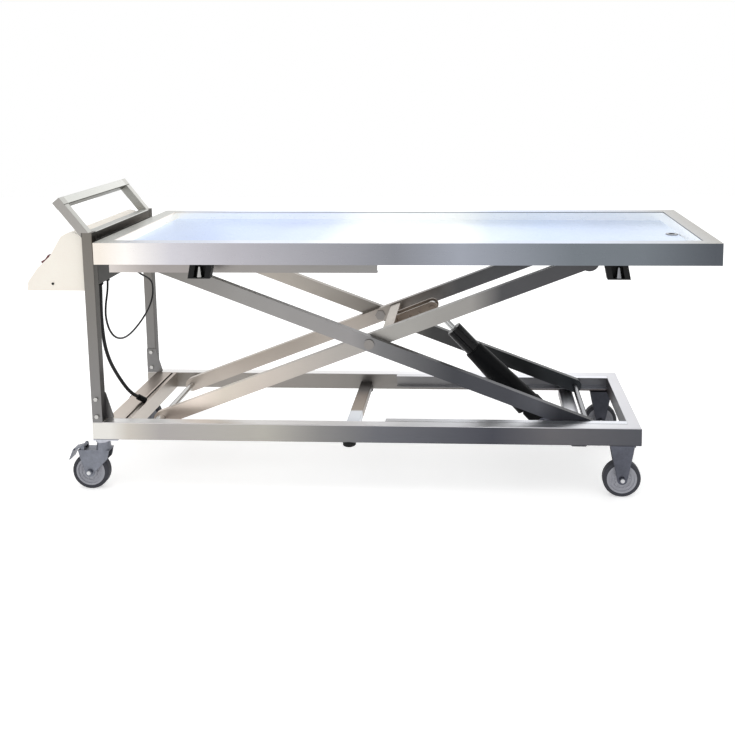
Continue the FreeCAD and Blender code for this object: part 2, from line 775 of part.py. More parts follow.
def actuator_clevis():
    left = lift_rail_place - lift_rail_width / 2
    half_eye = rod_end_width / 2 + body_gap
    end = half_eye + ear_sheet
    solids = []
    for y0 in (half_eye, -end):
        ear = plate_xz([(left, lift_rail_top), (left, lift_rail_top - lift_rail_height),
                        (actuator_foot_x, actuator_foot_z - rod_end_radius),
                        (actuator_foot_x, actuator_foot_z + rod_end_radius)], y0, y0 + ear_sheet)
        ear = ear.fuse(rod_y(actuator_foot_x, actuator_foot_z, y0, y0 + ear_sheet, 2 * rod_end_radius))
        solids.append(ear.removeSplitter().cut(
            rod_y(actuator_foot_x, actuator_foot_z, y0 - over, y0 + ear_sheet + over, rod_pin)))
    pin = rod_y(actuator_foot_x, actuator_foot_z, -end, end, rod_pin)
    heads = [hexagon_y(actuator_foot_x, actuator_foot_z, y0, y0 + bolt_head_height, axle_nut)
             for y0 in (end, -end - bolt_head_height)]
    nodes["actuator_clevis"] = solids + [fuse_all([pin] + heads)]


def oblong_wire(x, low, high, depth):
    # A rounded section across X, from z = low to z = high and as deep in Y as given
    half = depth / 2
    corners = [V(x, -half, low), V(x, half, low), V(x, half, high), V(x, -half, high)]
    limit = min(half, (high - low) / 2)
    return rounded_wire(corners, [limit - fit_play] * 4)


def actuator():
    place = (actuator_slope, actuator_foot_x, actuator_foot_z)
    half_eye = rod_end_width / 2
    eye = rod_y(0, 0, -half_eye, half_eye, 2 * rod_end_radius)
    neck = box(0, 2 * rod_end_radius, -half_eye, half_eye, -rod_end_radius, rod_end_radius)
    case = rounded_box(rod_end_radius + gland_wall, gearbox_length, -gearbox_depth / 2, gearbox_depth / 2,
                       -gearbox_right, gearbox_left, along_y, gearbox_round)
    gearbox = fuse_all([eye, neck, case]).cut(
        rod_y(0, 0, -rod_end_width, rod_end_width, rod_pin + 2 * fit_play))
    nodes["actuator_gearbox"] = [turned(gearbox, *place)]
    cover_end = gearbox_length + cover_length
    cover = Part.makeLoft([oblong_wire(gearbox_length, -cover_foot_right, cover_foot_left, cover_depth),
                           oblong_wire(cover_end, -cover_head_width / 2, cover_head_width / 2,
                                       cover_head_width)], True, True)
    cover = cover.cut(rod_x(gearbox_length - over, cover_end + over, 0, 0, guide_diameter))
    nodes["actuator_motor"] = [turned(cover, *place)]
    guide = rod_x(gearbox_length, cover_end, 0, 0, guide_diameter)
    guide = guide.cut(rod_x(gearbox_length - over, cover_end + over, 0, 0, piston_diameter + 2 * fit_play))
    nodes["actuator_tube"] = [turned(guide, *place)]
    piston = rod_x(gearbox_length + actuator_stroke, piston_end, 0, 0, piston_diameter)
    piston = piston.makeChamfer(over, [e for e in piston.Edges if e.BoundBox.XMin > piston_end - over])
    rod = rod_x(piston_end, actuator_span, 0, 0, rod_diameter)
    tip = rod_y(actuator_span, 0, -half_eye, half_eye, 2 * rod_end_radius)
    pin = rod_y(actuator_span, 0, -rod_pin_length / 2, rod_pin_length / 2, rod_pin)
    nodes["actuator_rod"] = [turned(piston, *place), turned(fuse_all([rod, tip, pin]), *place)]


# Tray and what hangs from it
def pan_outline(lift, wall):
    x0 = table_head + rim_width - wall
    x1 = table_foot - rim_width + wall
    floor = table_height - pan_depth - wall
    slope = pan_slope_width
    return [(x0, table_height + lift), (x0, table_height), (x0 + slope, floor),
            (x1 - slope, floor - pan_fall), (x1, table_height), (x1, table_height + lift)]


def tray():
    outside = rounded_box(table_head, table_foot, -half_table, half_table, skirt_bottom, table_height,
                          along_z, tray_corner)
    below = box(table_head + tray_sheet, table_foot - tray_sheet, tray_sheet - half_table,
                half_table - tray_sheet, skirt_bottom + tray_sheet, table_height - tray_sheet)
    mouth = box(table_head + skirt_return, table_foot - skirt_return, skirt_return - half_table,
                half_table - skirt_return, skirt_bottom - over, skirt_bottom + tray_sheet + over)
    notch = box(table_head + upper_track_inset, table_head + skirt_return + over, rail_inside - track_wall,
                rail_inside, skirt_bottom - over, skirt_bottom + tray_sheet + over)
    half = half_table - rim_width
    pan_out = plate_xz(pan_outline(-tray_sheet, tray_sheet)[1:5], -half - tray_sheet, half + tray_sheet)
    pan_in = plate_xz(pan_outline(over, 0), -half, half)
    shell = outside.cut(below).cut(mouth).cut(notch).cut(other_side(notch))
    below_rim = box(table_head, table_foot, -half_table, half_table, skirt_bottom, table_height - over / 2)
    shell = shell.fuse(pan_out.common(below_rim)).cut(pan_in)
    outer_bore = drain_bore + 2 * spigot_wall
    neck_bore = drain_bore + spigot_wall
    drain_x = table_foot - drain_inset
    hole = rod_z(drain_x, 0, skirt_bottom - over, table_height, neck_bore + 2 * fit_play)
    nodes["tray"] = [shell.cut(hole).removeSplitter()]
    x0 = table_head + rim_width + pan_slope_width
    x1 = table_foot - rim_width - pan_slope_width
    seat = table_height - pan_depth - pan_fall * (drain_x - drain_flange / 2 - x0) / (x1 - x0)
    flange = rod_z(drain_x, 0, seat, seat + tray_sheet, drain_flange)
    nut_top = seat - tray_sheet - drain_nut_gap
    nut_bottom = nut_top - drain_nut_height
    nut = rod_z(drain_x, 0, nut_bottom, nut_top, drain_nut)
    neck = rod_z(drain_x, 0, nut_bottom, seat + tray_sheet, neck_bore)
    spigot = rod_z(drain_x, 0, seat - drain_spigot_length, nut_bottom, outer_bore)
    drain = fuse_all([flange, neck, nut, spigot]).cut(
        rod_z(drain_x, 0, seat - drain_spigot_length - over, table_height, drain_bore))
    half_bar = drain_bore / 2 + spigot_wall / 4
    for turn in range(drain_cross_bars):
        bar = box(-half_bar, half_bar, -tray_sheet / 2, tray_sheet / 2, seat - tray_sheet, seat)
        bar.rotate(V(0, 0, 0), along_z, turn * 180 / drain_cross_bars)
        drain = drain.fuse(bar.translated(V(drain_x, 0, 0)))
    nodes["drain_outlet"] = [drain.removeSplitter()]


def tray_frame():
    reach = half_table - tray_sheet
    half = tray_bar_width / 2
    span = table_length - 2 * rim_width
    places = [table_head + rim_width + share * span for share in tray_bar_shares] + [pin_right]
    low = tray_bar_top - tray_bar_height
    nodes["tray_bars"] = [tube(x - half, x + half, -reach, reach, low, tray_bar_top,
                               along_y, tray_bar_wall, rail_corner) for x in places]
    nodes["upper_tracks"] = pair(channel(table_head + upper_track_inset, upper_track_end, pin_high,
                                         upper_track_height))
    lugs = []
    for y0 in (inner_arm_far + lug_gap, inner_arm_near - lug_gap - lug_sheet):
        y1 = y0 + lug_sheet
        lug = box(pin_right - lug_radius, pin_right + lug_radius, y0, y1, pin_high, low)
        lug = lug.fuse(rod_y(pin_right, pin_high, y0, y1, 2 * lug_radius))
        lug = lug.cut(box(pin_right - table_length, pin_right + table_length, y0 - over, y1 + over,
                          low, low + 2 * lug_radius))
        lug = lug.cut(rod_y(pin_right, pin_high, y0 - over, y1 + over, pin_diameter)).removeSplitter()
        lugs += pair(lug)
    far = inner_arm_far + lug_gap + lug_sheet
    near = inner_arm_near - lug_gap - lug_sheet
    pin = rod_y(pin_right, pin_high, near, far, pin_diameter)
    head = rod_y(pin_right, pin_high, far, far + boss_head, boss_diameter)
    lugs += pair(pin.fuse(head).removeSplitter())
    nodes["table_lugs"] = lugs


def clamp_plate(place, lean, half, low, high, y0, y1):
    # A plate leaning away from the trolley's middle, its top edge at the skirt
    top = skirt_bottom + tray_sheet
    drop = clamp_drop
    left_low = place - half + lean * (top - low) / drop
    left_high = place - half + lean * (top - high) / drop
    return plate_xz([(left_low, low), (left_high, high), (left_high + 2 * half, high),
                     (left_low + 2 * half, low)], y0, y1)


def tray_clamps():
    # Black stirrups on the skirt's return, each holding a pale bell-shaped buffer
    clamps = []
    buffers = []
    top = skirt_bottom + tray_sheet
    bottom = top - clamp_drop
    half = clamp_length / 2
    far = half_table - skirt_return - body_gap
    near = far - clamp_width
    for side in (-1, 1):
        place = table_lead + clamp_lead + side * clamp_spread
        lean = side * clamp_lean
        shelf = box(place - half, place + half, near, half_table - tray_sheet, top, top + clamp_sheet)
        body = clamp_plate(place, lean, half, bottom, top, near, far)
        mouth = clamp_plate(place, lean, half - clamp_leg_width, bottom + clamp_sheet, top,
                            near + clamp_sheet, far + over)
        clamps += pair(shelf.fuse(body.cut(mouth)).removeSplitter())
        cone = Part.makeCone(buffer_foot / 2, buffer_top / 2, buffer_height,
                             V(place + lean, (near + clamp_sheet + far) / 2, bottom + clamp_sheet))
        buffers += pair(cone)
    nodes["tray_clamps"] = clamps
    nodes["clamp_buffers"] = buffers


# Free cables: each route is a list of points chosen by hand, its ends at the glands
control_route = [(-895.0, -130.0, 693.0), (-895.0, -131.0, 675.0), (-893.0, -144.0, 649.0),
                 (-889.0, -170.0, 619.0), (-886.0, -184.0, 577.0), (-883.0, -165.0, 523.0),
                 (-880.0, -118.0, 483.0), (-876.0, -52.0, 465.0), (-872.0, 22.0, 472.0),
                 (-867.0, 101.0, 495.0), (-863.0, 162.0, 524.0), (-862.0, 197.0, 558.0),
                 (-863.0, 204.0, 597.0), (-866.0, 196.0, 618.0), (-873.0, 179.0, 633.0),
                 (-880.0, 160.0, 644.5), (-887.0, 142.5, 656.5), (-893.0, 126.0, 671.5),
                 (-895.0, 119.0, 692.0)]
motor_route = [(-895.0, -189.0, 693.0), (-895.5, -190.0, 655.0), (-896.0, -194.0, 597.0),
               (-894.0, -196.0, 537.0), (-890.0, -193.0, 477.0), (-881.0, -180.0, 419.0),
               (-867.0, -158.0, 365.0), (-850.0, -136.0, 315.0), (-835.0, -118.0, 283.0),
               (-821.0, -100.0, 265.0)]


def cable(points, diameter, name):
    # Straight runs joined by tangent arcs, swept with a round section
    knots = [V(*p) for p in points]
    edges = []
    radii = []
    start = knots[0]
    for before, knot, after in zip(knots, knots[1:], knots[2:]):
        run_in = knot - before
        run_out = after - knot
        half_turn = run_in.getAngle(run_out) / 2
        step = cable_bend_share * min(run_in.Length, run_out.Length)
        radius = step / math.tan(half_turn)
        radii.append(radius)
        way_in = V(run_in).normalize()
        way_out = V(run_out).normalize()
        first = knot - way_in * step
        last = knot + way_out * step
        inward = (way_out - way_in).normalize()
        middle = knot + inward * (radius / math.cos(half_turn) - radius)
        edges.append(Part.LineSegment(start, first).toShape())
        edges.append(Part.Arc(first, middle, last).toShape())
        start = last
    edges.append(Part.LineSegment(start, knots[-1]).toShape())
    path = Part.Wire(edges)
    section = Part.Wire([Part.Circle(knots[0], knots[1] - knots[0], diameter / 2).toShape()])
    swept = path.makePipeShell([section], True, False)
    area = math.pi * diameter ** 2 / 4
    print(name, "length", round(path.Length, 1), "radii", [round(r) for r in radii],
          "volume share", round(swept.Volume / (area * path.Length), 4), "valid", swept.isValid())
    nodes[name] = [swept]


def write_parts():
    os.makedirs("parts", exist_ok=True)
    for name, solids in nodes.items():
        shape = solids[0] if len(solids) == 1 else Part.makeCompound(solids)
        shape = shape.translated(V(-origin_x, 0, 0))
        shape.exportStep("parts/" + name + ".step")


base_rails()
cross_rails()
base_pivots()
posts()
crossbar()
handle()
control_housing()
casters()
inner_arms()
outer_arms()
actuator_bracket()
actuator_clevis()
actuator()
tray()
tray_frame()
tray_clamps()
cable(control_route, control_cable, "control_cable")
cable(motor_route, motor_cable, "motor_cable")
write_parts()
print("nodes", len(nodes), "origin_x", origin_x)
print("arm span", round(arm_span, 3), "slope", round(arm_slope, 4))
print("actuator span", round(actuator_span, 3), "slope", round(actuator_slope, 4))
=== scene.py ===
import math
import bmesh
import bpy
import numpy as np
from mathutils import Matrix, Vector


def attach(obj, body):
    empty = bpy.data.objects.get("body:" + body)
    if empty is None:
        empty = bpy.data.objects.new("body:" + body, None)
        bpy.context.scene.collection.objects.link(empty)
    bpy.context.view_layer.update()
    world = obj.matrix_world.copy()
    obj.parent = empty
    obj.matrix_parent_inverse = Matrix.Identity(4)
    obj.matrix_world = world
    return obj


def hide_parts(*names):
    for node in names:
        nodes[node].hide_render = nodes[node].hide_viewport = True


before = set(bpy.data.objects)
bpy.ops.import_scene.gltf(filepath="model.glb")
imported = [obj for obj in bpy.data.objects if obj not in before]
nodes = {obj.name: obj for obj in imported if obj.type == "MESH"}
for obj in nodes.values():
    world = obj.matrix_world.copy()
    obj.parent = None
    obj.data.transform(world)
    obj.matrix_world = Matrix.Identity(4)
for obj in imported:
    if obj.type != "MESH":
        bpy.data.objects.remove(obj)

scene = bpy.context.scene
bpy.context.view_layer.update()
print("frame loaded:", len(nodes), "nodes")


# Camera: it stands where the photograph was taken from, in the part's own frame
cameraFacts = {
    "place": (0.3600, -3.0541, 1.3814),
    "yaw": -3.112,  # degrees, like pitch and roll
    "pitch": -7.393,
    "roll": -0.536,
    "lens": 43.294,  # millimetres, like the sensor's width
    "sensor": 36.0,
    "shift": (-0.08, -0.24),  # shares of the frame's width
    "clip": 60,
}


def makeCamera(facts):
    # The line of sight comes from yaw and pitch, and right and up are turned round it by the roll
    yaw, pitch, roll = (math.radians(facts[k]) for k in ("yaw", "pitch", "roll"))
    forward = Vector((math.sin(yaw) * math.cos(pitch), math.cos(yaw) * math.cos(pitch), math.sin(pitch)))
    right = Vector((math.cos(yaw), -math.sin(yaw), 0))
    up = right.cross(forward)
    turnedRight = math.cos(roll) * right + math.sin(roll) * up
    turnedUp = math.cos(roll) * up - math.sin(roll) * right
    axes = Matrix((turnedRight, turnedUp, -forward)).transposed().to_4x4()
    camera = bpy.data.objects.new("camera", bpy.data.cameras.new("camera"))
    camera.matrix_world = Matrix.Translation(facts["place"]) @ axes
    camera.data.lens = facts["lens"]
    camera.data.sensor_width = facts["sensor"]
    camera.data.shift_x, camera.data.shift_y = facts["shift"]
    camera.data.clip_end = facts["clip"]
    scene.collection.objects.link(camera)
    scene.camera = camera


makeCamera(cameraFacts)
print("camera placed")


# Shader expressions: a socket with operators, so that masks are written as sums
class Sock:
    def __init__(self, book, socket):
        self.book = book
        self.socket = socket

    def calc(self, operation, *values):
        return self.book.node("ShaderNodeMath", {"operation": operation}, dict(enumerate(values)))

    def __add__(self, other):
        return self.calc("ADD", self, other)

    def __radd__(self, other):
        return self.calc("ADD", other, self)

    def __sub__(self, other):
        return self.calc("SUBTRACT", self, other)

    def __rsub__(self, other):
        return self.calc("SUBTRACT", other, self)

    def __mul__(self, other):
        return self.calc("MULTIPLY", self, other)

    def __rmul__(self, other):
        return self.calc("MULTIPLY", other, self)

    def __truediv__(self, other):
        return self.calc("DIVIDE", self, other)

    def __rtruediv__(self, other):
        return self.calc("DIVIDE", other, self)

    def __abs__(self):
        return self.calc("ABSOLUTE", self)

    def between(self, start, full):
        # 0 up to start, 1 from full on, and even in between, also where full is the lower of the two
        return self.book.node("ShaderNodeMapRange", {"clamp": True},
                              {"Value": self, "From Min": start, "From Max": full})


class Book:
    # One material's node tree
    def __init__(self, name):
        self.material = bpy.data.materials.new(name)
        self.material.use_nodes = True
        self.tree = self.material.node_tree
        self.shader = self.tree.nodes["Principled BSDF"]

    def node(self, kind, settings, sockets, output=0):
        # Settings first, then the sockets' values or links
        made = self.tree.nodes.new(kind)
        for key, value in settings.items():
            if key == "stops":
                self.fillRamp(made.color_ramp, value)
            else:
                setattr(made, key, value)
        for key, value in sockets.items():
            self.join(made.inputs[key], value)
        return Sock(self, made.outputs[output])

    def join(self, entry, value):
        if isinstance(value, Sock):
            self.tree.links.new(value.socket, entry)
        else:
            entry.default_value = value

    def feed(self, name, value):
        self.join(self.shader.inputs[name], value)

    def fillRamp(self, ramp, stops):
        while len(ramp.elements) < len(stops):
            ramp.elements.new(0.5)  # it gets its place below
        for element, (place, colour) in zip(ramp.elements, stops):
            element.position = place
            element.color = solid(colour)

    def place(self):
        return self.node("ShaderNodeTexCoord", {}, {}, output="Object")

    def facing(self):
        return self.parts(self.node("ShaderNodeNewGeometry", {}, {}, output="Normal"))

    def parts(self, vector):
        split = self.node("ShaderNodeSeparateXYZ", {}, {"Vector": vector})
        return [Sock(self, output) for output in split.socket.node.outputs]

    def noise(self, vector, scale, detail, roughness):
        # Values about 0.5
        return self.node("ShaderNodeTexNoise", {}, {"Vector": vector, "Scale": scale, "Detail": detail,
                                                    "Roughness": roughness})

    def bump(self, height, strength, depth):
        return self.node("ShaderNodeBump", {}, {"Height": height, "Strength": strength, "Distance": depth})

    def stretched(self, vector, scales):
        return self.node("ShaderNodeVectorMath", {"operation": "MULTIPLY"}, {0: vector, 1: scales})

    def shaded(self, colour, shade):
        return self.node("ShaderNodeVectorMath", {"operation": "SCALE"}, {0: colour, "Scale": shade})

    def mix(self, factor, a, b):
        # a where the factor is 0 and b where it is 1: inputs 6 and 7 and output 2 are the colour ones
        return self.node("ShaderNodeMix", {"data_type": "RGBA"}, {0: factor, 6: a, 7: b}, output=2)

    def ramp(self, along, stops):
        # Colours set at real places, in metres, or at values of a mask
        low, high = stops[0][0], stops[-1][0]
        placed = [((at - low) / (high - low), colour) for at, colour in stops]
        return self.node("ShaderNodeValToRGB", {"stops": placed}, {"Fac": (along - low) / (high - low)})


def solid(colour):
    # From values of 0 to 255, as a screen shows them, to the renderer's own, by the sRGB curve
    values = np.array(colour, float) / 255
    values = np.where(values <= 0.04045, values / 12.92, ((values + 0.055) / 1.055) ** 2.4)
    return (*(float(v) for v in values), 1)


# Cables: smooth lines through the points of the solids that they stand for
cableFacts = {
    "control_cable": {"diameter": 0.007, "length": 0.7605, "route": [
        (-0.904, -0.13, 0.693), (-0.904, -0.131, 0.675), (-0.902, -0.144, 0.649), (-0.898, -0.17, 0.619),
        (-0.895, -0.184, 0.577), (-0.892, -0.165, 0.523), (-0.889, -0.118, 0.483), (-0.885, -0.052, 0.465),
        (-0.881, 0.022, 0.472), (-0.876, 0.101, 0.495), (-0.872, 0.162, 0.524), (-0.871, 0.197, 0.558),
        (-0.872, 0.204, 0.597), (-0.875, 0.196, 0.618), (-0.882, 0.179, 0.633), (-0.889, 0.16, 0.6445),
        (-0.896, 0.1425, 0.6565), (-0.902, 0.126, 0.6715), (-0.904, 0.119, 0.692)]},
    "motor_cable": {"diameter": 0.012, "length": 0.4618, "route": [
        (-0.904, -0.189, 0.693), (-0.9045, -0.19, 0.655), (-0.905, -0.194, 0.597), (-0.903, -0.196, 0.537),
        (-0.899, -0.193, 0.477), (-0.89, -0.18, 0.419), (-0.876, -0.158, 0.365), (-0.859, -0.136, 0.315),
        (-0.844, -0.118, 0.283), (-0.83, -0.1, 0.265)]},
}


def makeCable(name, facts):
    route = facts["route"]
    curve = bpy.data.curves.new(name + "_line", "CURVE")
    curve.dimensions = "3D"
    curve.bevel_depth = 1.0  # each point's own radius scales it
    curve.bevel_resolution = 5
    curve.resolution_u = 12
    curve.use_fill_caps = True
    spline = curve.splines.new("NURBS")
    spline.points.add(len(route) - 1)
    spline.points.foreach_set("co", np.column_stack([route, np.ones(len(route))]).ravel())
    spline.points.foreach_set("radius", np.full(len(route), facts["diameter"] / 2))
    spline.order_u = 3  # after its points, or it stays at straight runs
    spline.use_endpoint_u = True
    cable = bpy.data.objects.new(name + "_line", curve)
    scene.collection.objects.link(cable)
    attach(cable, "base")
    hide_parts(name)
    return cable


cables = [makeCable(name, facts) for name, facts in cableFacts.items()]
print("cables laid:", len(cables))


# Brushed steel: each way that a face looks has its own tones along the trolley, at places in metres, and
# these tones are painted light, shade and reflections: lighter tops, darker sides, feet and far faces, and
# darker stretches where parts stand in shade.
# Grain is how fine the lines are along x, y and z, and blotch how strong the soft marks are.
plainSteel = {"along": 0, "grain": (4, 90, 90), "blotch": 0.06, "roughness": 0.36}
steelFacts = {
    # Tray: its tones are painted reflections: the skirt runs from warm white at the head through grey to dark
    # slate at the foot, and the rim and the pan's floor carry a painted bluish reflection with a bright band
    # across the middle
    "traySteel": {"grain": (3, 60, 60), "roughness": 0.30, "faces": {
        "side": [(-0.83, (230, 222, 212)), (-0.75, (238, 234, 230)), (-0.60, (196, 194, 200)),
                 (-0.40, (174, 172, 178)), (0.11, (128, 130, 136)), (0.32, (150, 154, 164)),
                 (0.67, (110, 116, 122)), (0.88, (110, 116, 122)), (1.10, (82, 86, 92))],
        "up": [(-0.83, (198, 198, 192)), (-0.79, (204, 204, 200)), (-0.76, (214, 216, 222)),
               (-0.55, (204, 211, 226)), (-0.20, (206, 214, 230)), (0.00, (248, 250, 253)),
               (0.25, (246, 249, 253)), (0.45, (196, 206, 226)), (0.65, (192, 202, 222)),
               (1.00, (176, 179, 185)), (1.10, (150, 148, 143)), (1.125, (142, 139, 132))],
        "pan": [(-0.80, (206, 222, 248)), (-0.55, (192, 210, 245)), (-0.33, (188, 204, 240)),
                (-0.18, (200, 214, 243)), (-0.05, (242, 248, 250)), (0.30, (245, 250, 252)),
                (0.42, (206, 220, 240)), (0.60, (190, 208, 236)), (0.88, (190, 205, 230)),
                (1.06, (202, 215, 234))],
        "wall": [(-0.80, (255, 255, 251)), (1.10, (252, 254, 255))]}},
    # Rails: painted shade darkens the sides towards the foot and on the far side, and painted light brightens
    # the tops
    "railSteel": {"faces": {
        "side": [(-0.86, (212, 210, 205)), (-0.80, (188, 183, 175)), (-0.69, (164, 160, 158)),
                 (-0.34, (168, 165, 158)), (-0.15, (130, 129, 128)), (0.04, (102, 103, 108)),
                 (0.42, (72, 73, 80)), (0.61, (96, 95, 98)), (0.90, (80, 81, 86))],
        "up": [(-0.86, (238, 237, 236)), (-0.30, (216, 214, 213)), (0.20, (226, 226, 229)),
               (0.60, (236, 237, 241)), (0.90, (204, 204, 208))],
        "far": [(-0.86, (163, 158, 152)), (0.1, (130, 127, 124)), (0.90, (109, 103, 105))]}},
    "headRailSteel": {"grain": (90, 4, 90), "along": 1, "faces": {
        "side": [(-0.30, (206, 198, 190)), (0.30, (158, 152, 145))],
        "up": [(-0.30, (220, 211, 202)), (0.0, (194, 182, 172)), (0.30, (172, 163, 154))]}},
    "bracketSteel": {"grain": (60, 60, 60), "blotch": 0.45, "roughness": 0.42, "faces": {
        "side": [(-0.10, (176, 160, 147)), (0.20, (128, 117, 107))],
        "up": [(-0.10, (214, 208, 200)), (0.20, (170, 162, 154))]}},
    # Arms: painted shade darkens them towards the foot and on the far side
    "innerArmSteel": {"blotch": 0.10, "faces": {
        "side": [(-0.70, (226, 213, 202)), (-0.58, (228, 216, 205)), (-0.50, (208, 199, 187)),
                 (-0.37, (193, 184, 175)), (-0.11, (164, 159, 154)), (0.09, (154, 152, 148)),
                 (0.35, (144, 142, 139)), (0.45, (78, 78, 80)), (0.75, (74, 74, 76))],
        "far": [(-0.70, (194, 185, 176)), (-0.1, (178, 170, 162)), (0.3, (84, 84, 85)),
                (0.75, (64, 66, 70))]}},
    "outerArmSteel": {"blotch": 0.10, "faces": {
        "side": [(-0.70, (126, 123, 119)), (-0.42, (142, 140, 138)), (-0.05, (142, 140, 140)),
                 (0.05, (114, 114, 115)), (0.16, (94, 94, 96)), (0.29, (68, 69, 73)), (0.48, (70, 71, 76)),
                 (0.57, (80, 81, 86)), (0.64, (52, 53, 57)), (0.75, (46, 47, 51))],
        "far": [(-0.70, (190, 182, 172)), (-0.1, (150, 145, 139)), (0.2, (73, 73, 73)),
                (0.75, (57, 60, 63))]}},
    # Posts: painted shade darkens the faces that look towards the foot
    "postSteel": {"grain": (90, 90, 4), "along": 2, "faces": {
        "side": [(0.24, (126, 125, 125)), (0.85, (120, 116, 110))],
        "foot": [(0.24, (70, 69, 70)), (0.50, (60, 57, 54)), (0.88, (52, 48, 40))]}},
    # Tracks: painted light on the tops and painted shade on the sides
    "trackSteel": {"faces": {
        "side": [(-0.86, (212, 205, 200)), (-0.70, (160, 154, 152)), (-0.40, (148, 144, 141)),
                 (0.05, (137, 136, 135)), (0.12, (122, 121, 122)), (0.85, (106, 107, 111))],
        "up": [(-0.86, (206, 204, 202)), (0.10, (200, 200, 203)), (0.30, (232, 233, 238)),
               (0.85, (224, 226, 232))]}},
    # Middle cross tube: painted light on its near half and painted shade darkening it towards the far side
    "crossSteel": {"grain": (90, 4, 90), "along": 1, "faces": {
        "side": [(-0.27, (206, 211, 218)), (-0.075, (212, 215, 220)), (-0.06, (140, 128, 116)),
                 (0.08, (104, 92, 82)), (0.14, (56, 50, 46)), (0.27, (44, 42, 42))]}},
    # Handle: painted light on the top faces, and painted shade on the faces that look towards the foot and on
    # the underside
    "handleSteel": {"grain": (90, 4, 90), "along": 1, "faces": {
        "side": [(-0.28, (160, 157, 153)), (0.28, (150, 150, 145))],
        "up": [(-0.276, (184, 184, 179)), (-0.246, (186, 185, 180)), (-0.240, (206, 207, 202)),
               (0.240, (214, 214, 210)), (0.246, (196, 195, 190)), (0.276, (196, 195, 190))],
        "foot": [(-0.28, (56, 52, 46)), (0.28, (68, 64, 58))],
        "down": [(-0.28, (88, 90, 85)), (0.28, (94, 96, 91))]}},
    "pistonSteel": {"grain": (60, 60, 60), "roughness": 0.2, "faces": {
        "side": [(0.0, (196, 197, 196)), (0.6, (176, 177, 178))]},
        "sleeve": {"foot": (0.603, 0.155), "axis": (-0.683375, 0.730068), "end": 0.4622, "fade": 0.0004,
                   "colour": (10, 11, 13), "specular": 0.2}},
    "pinSteel": {"grain": (60, 60, 60), "roughness": 0.3, "faces": {
        "side": [(-0.3, (138, 134, 130)), (0.3, (126, 123, 121))]}},
    "weldSteel": {"grain": (60, 60, 60), "roughness": 0.42, "blotch": 0.2, "faces": {
        "side": [(-1.0, (140, 136, 130)), (1.0, (112, 110, 108))]}},
    "capSteel": {"grain": (60, 60, 60), "roughness": 0.3, "faces": {
        "side": [(-1.0, (206, 207, 209)), (1.0, (196, 197, 200))]}},
    "brightSteel": {"grain": (90, 6, 90), "roughness": 0.24, "faces": {
        "side": [(-1.0, (186, 185, 182)), (0.3, (150, 150, 152)), (1.0, (132, 134, 138))]}},
}
# The axis and sign of the normal that each word names, and where its painted light and shade tones start and
# are full
faceSides = {"up": (2, 1, 0.35, 0.55), "down": (2, -1, 0.35, 0.55), "foot": (0, 1, 0.88, 0.96)}
# The tray's pan, whose floor takes painted reflection tones: where it lies, how far its mask fades at the
# sides and under the rim, and how much a face has to look up before it counts as the pan's floor
panFacts = {"halfWidth": 0.333, "head": -0.843, "foot": 1.113, "rim": 0.8625, "edge": 0.003, "lip": 0.001,
            "level": (0.85, 0.97)}
# Scale, detail and roughness of each noise, then how strongly it shows in tone, roughness and bump
brushFacts = {
    "lines": (9.0, 3.0, 0.6), "soft": (5.0, 2.0, 0.5), "scuff": (38.0, 4.0, 0.7),
    "lineTone": 0.10, "scuffTone": 0.05, "lineRough": 0.12, "scuffRough": 0.14,
    "bump": 0.12, "depth": 0.0006,
    # The far side's tones are painted shade, darker than the near side's
    "farShadeBand": (0.09, 0.10),  # across the trolley, where the far side's tones take over
}


def insidePan(place, facts):
    # 1 on the pan's floor and walls, 0 on the rim and the skirt
    halfWidth, head, foot, rim, edge = (facts[k] for k in ("halfWidth", "head", "foot", "rim", "edge"))
    across = abs(place[1]).between(halfWidth, halfWidth - edge)
    length = place[0].between(head, head + edge) * place[0].between(foot, foot - edge)
    return across * length * place[2].between(rim, rim - facts["lip"])


def barePart(place, facts):
    # 0 along the black sleeve and 1 on the bare rod beyond its end, by distance along the actuator's axis
    footX, footZ = facts["foot"]
    axisX, axisZ = facts["axis"]
    travel = (place[0] - footX) * axisX + (place[2] - footZ) * axisZ
    return travel.between(facts["end"], facts["end"] + facts["fade"])


def brushedSteel(name, facts):
    # Fine grain lines along one axis, soft blotches where it was handled, and painted light, shade and
    # reflections as tones by place and by face
    facts = {**plainSteel, **facts}
    book = Book(name)
    here = book.place()
    place = book.parts(here)
    facing = book.facing()
    paintedLightTones = {word: book.ramp(place[facts["along"]], stops) for word, stops in facts["faces"].items()}
    colour = paintedLightTones["side"]
    if "far" in paintedLightTones:
        # Painted shade: beyond the band the far side's darker tones take over
        colour = book.mix(place[1].between(*brushFacts["farShadeBand"]), colour, paintedLightTones["far"])
    for word, (axis, sign, start, full) in faceSides.items():
        if word in paintedLightTones:
            colour = book.mix((facing[axis] * sign).between(start, full), colour, paintedLightTones[word])
    # The pan's floor takes its painted reflection tones, and its walls theirs
    if "pan" in paintedLightTones:
        floor = book.mix(facing[2].between(*panFacts["level"]), paintedLightTones["wall"], paintedLightTones["pan"])
        colour = book.mix(insidePan(place, panFacts), colour, floor)
    lines = book.noise(book.stretched(here, facts["grain"]), *brushFacts["lines"])
    soft = book.noise(here, *brushFacts["soft"])
    scuff = book.noise(here, *brushFacts["scuff"])
    shade = (1 + (lines - 0.5) * brushFacts["lineTone"] + (soft - 0.5) * (2 * facts["blotch"])
             + (scuff - 0.5) * brushFacts["scuffTone"])
    colour = book.shaded(colour, shade)
    if "sleeve" in facts:
        bare = barePart(place, facts["sleeve"])
        colour = book.mix(bare, solid(facts["sleeve"]["colour"]), colour)
        book.feed("Metallic", bare)
        book.feed("Specular IOR Level", facts["sleeve"]["specular"])
    else:
        book.feed("Metallic", 1.0)
    book.feed("Base Color", colour)
    book.feed("Roughness", (lines - 0.5) * brushFacts["lineRough"] + (scuff - 0.5) * brushFacts["scuffRough"]
              + facts["roughness"])
    book.feed("Normal", book.bump(lines, brushFacts["bump"], brushFacts["depth"]))
    return book.material
